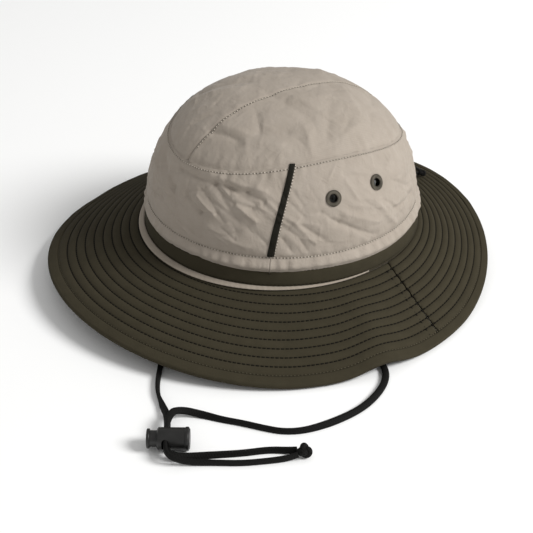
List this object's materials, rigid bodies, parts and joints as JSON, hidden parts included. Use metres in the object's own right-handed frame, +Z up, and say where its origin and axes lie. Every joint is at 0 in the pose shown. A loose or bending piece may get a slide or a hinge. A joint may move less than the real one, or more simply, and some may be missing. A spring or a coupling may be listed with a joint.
{
  "type": "boonie hat",
  "caption": "Soft boonie hat with a panelled crown, stitched drooping brim, vent eyelets, chin cord with cord lock and rear adjuster.",
  "frame": {"origin": "middle of the brim's footprint, on the surface the brim rests on, leaving out the free cords", "axes": "+Z up through the crown, -Y to the hat's front, +X to the wearer's left"},
  "size_m": [0.3517, 0.3306, 0.1335],
  "materials": {
    "crown_cloth": "ripstop-like cotton nylon",
    "brim_cloth": "cotton twill",
    "trim_webbing": "woven tape",
    "piping": "bias piping",
    "seam_tape": "twill tape",
    "sweatband_cloth": "soft knit",
    "label_cloth": "woven label",
    "stiffener": "non-woven felt",
    "eyelet_metal": "gunmetal",
    "cord": "soft braid",
    "lock_plastic": "moulded",
    "spring_steel": "spring wire"
  },
  "bodies": {
    "hat": {"brim_edge_binding": "brim_cloth", "brim_seam_binding": "seam_tape", "brim_stiffener": "stiffener", "brim_top_front": "brim_cloth", "brim_top_rear": "brim_cloth", "brim_under_front": "brim_cloth", "brim_under_rear": "brim_cloth", "chin_cord_knot": "cord", "chin_cord_left": "cord", "chin_cord_right": "cord", "chin_cord_tab_left": "cord", "chin_cord_tab_right": "cord", "crown_ring_tape": "seam_tape", "crown_top_left": "crown_cloth", "crown_top_right": "crown_cloth", "crown_top_tape": "seam_tape", "front_piping": "piping", "hat_band": "brim_cloth", "rear_cord_eyelet": "eyelet_metal", "rear_cord_knot": "cord", "rear_cord_left": "cord", "rear_cord_right": "cord", "side_band_front": "crown_cloth", "side_band_left": "crown_cloth", "side_band_right": "crown_cloth", "side_seam_tape_left": "seam_tape", "side_seam_tape_rear": "seam_tape", "side_seam_tape_right": "seam_tape", "side_trim_left": "trim_webbing", "side_trim_right": "trim_webbing", "size_label": "label_cloth", "sweatband": "sweatband_cloth", "vent_eyelet_washers_left": "eyelet_metal", "vent_eyelet_washers_right": "eyelet_metal", "vent_eyelets_left": "eyelet_metal", "vent_eyelets_right": "eyelet_metal"},
    "chin_lock": {"chin_lock_body": "lock_plastic", "chin_lock_spring": "spring_steel"},
    "chin_plunger": {"chin_lock_plunger": "lock_plastic"},
    "rear_lock": {"rear_lock_body": "lock_plastic", "rear_lock_spring": "spring_steel"},
    "rear_plunger": {"rear_lock_plunger": "lock_plastic"}
  },
  "joints": [
    {"name": "chin_lock_slide", "type": "slide", "parent": "hat", "child": "chin_lock", "axis": [-0.8434, 0.5373, 0], "range_m": [0, 0.007]},
    {"name": "chin_plunger_press", "type": "slide", "parent": "chin_lock", "child": "chin_plunger", "axis": [0.5373, 0.8434, 0], "range_m": [0, 0.0028], "stiffness_N_per_m": 900, "springref_m": -0.003, "deforming": ["chin_lock_spring"]},
    {"name": "rear_lock_slide", "type": "slide", "parent": "hat", "child": "rear_lock", "axis": [0, -1, 0], "range_m": [0, 0.003]},
    {"name": "rear_plunger_press", "type": "slide", "parent": "rear_lock", "child": "rear_plunger", "axis": [-1, 0, 0], "range_m": [0, 0.0022], "stiffness_N_per_m": 900, "springref_m": -0.0024, "deforming": ["rear_lock_spring"]}
  ]
}
